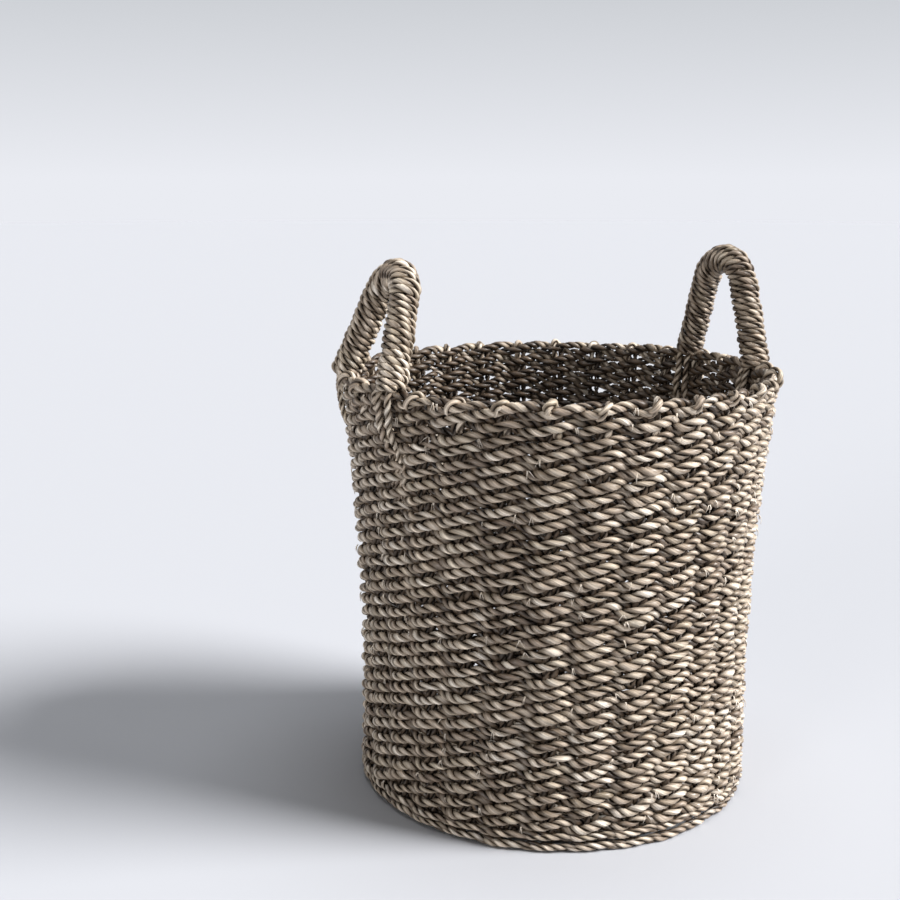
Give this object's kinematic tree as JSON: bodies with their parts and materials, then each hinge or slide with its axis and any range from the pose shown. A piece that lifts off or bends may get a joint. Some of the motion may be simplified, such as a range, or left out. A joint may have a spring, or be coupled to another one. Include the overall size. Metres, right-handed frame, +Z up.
{
  "type": "woven storage basket",
  "caption": "Round seagrass storage basket with twined rows, a folded rim and a wrapped loop handle on each side.",
  "frame": {"origin": "on the floor under the middle of the basket", "axes": "+Z up; +X from the middle of the basket towards the right handle"},
  "size_m": [0.3516, 0.3498, 0.4236],
  "materials": {
    "weft_cord": "matte",
    "base_cord": "matte",
    "stake_cord": "matte",
    "core_rope": "matte",
    "wrap_cord": "matte"
  },
  "bodies": {
    "basket": {"stakes": "stake_cord", "base_cross_lower": "stake_cord", "base_cross_upper": "stake_cord", "corner_wale": "base_cord", "base_round_01": "base_cord", "base_round_02": "base_cord", "base_round_03": "base_cord", "base_round_04": "base_cord", "base_round_05": "base_cord", "base_round_06": "base_cord", "base_round_07": "base_cord", "base_round_08": "base_cord", "base_round_09": "base_cord", "base_round_10": "base_cord", "base_round_11": "base_cord", "weft_row_01": "weft_cord", "weft_row_02": "weft_cord", "weft_row_03": "weft_cord", "weft_row_04": "weft_cord", "weft_row_05": "weft_cord", "weft_row_06": "weft_cord", "weft_row_07": "weft_cord", "weft_row_08": "weft_cord", "weft_row_09": "weft_cord", "weft_row_10": "weft_cord", "weft_row_11": "weft_cord", "weft_row_12": "weft_cord", "weft_row_13": "weft_cord", "weft_row_14": "weft_cord", "weft_row_15": "weft_cord", "weft_row_16": "weft_cord", "weft_row_17": "weft_cord", "weft_row_18": "weft_cord", "weft_row_19": "weft_cord", "weft_row_20": "weft_cord", "weft_row_21": "weft_cord", "weft_row_22": "weft_cord", "weft_row_23": "weft_cord", "weft_row_24": "weft_cord", "weft_row_25": "weft_cord", "weft_row_26": "weft_cord", "weft_row_27": "weft_cord", "weft_row_28": "weft_cord", "weft_row_29": "weft_cord", "weft_row_30": "weft_cord", "weft_row_31": "weft_cord", "handle_left_tails": "stake_cord", "handle_right_tails": "stake_cord"},
    "handle_left": {"handle_left_core": "core_rope", "handle_left_wrap": "wrap_cord"},
    "handle_right": {"handle_right_core": "core_rope", "handle_right_wrap": "wrap_cord"}
  },
  "joints": [
    {"name": "handle_left_lean", "type": "hinge", "parent": "basket", "child": "handle_left", "pos_m": [-0.15811, 0, 0.3376], "axis": [0, 1, 0], "range_deg": [-50, 20]},
    {"name": "handle_right_lean", "type": "hinge", "parent": "basket", "child": "handle_right", "pos_m": [0.15811, 0, 0.3376], "axis": [0, -1, 0], "range_deg": [-35, 35]}
  ]
}
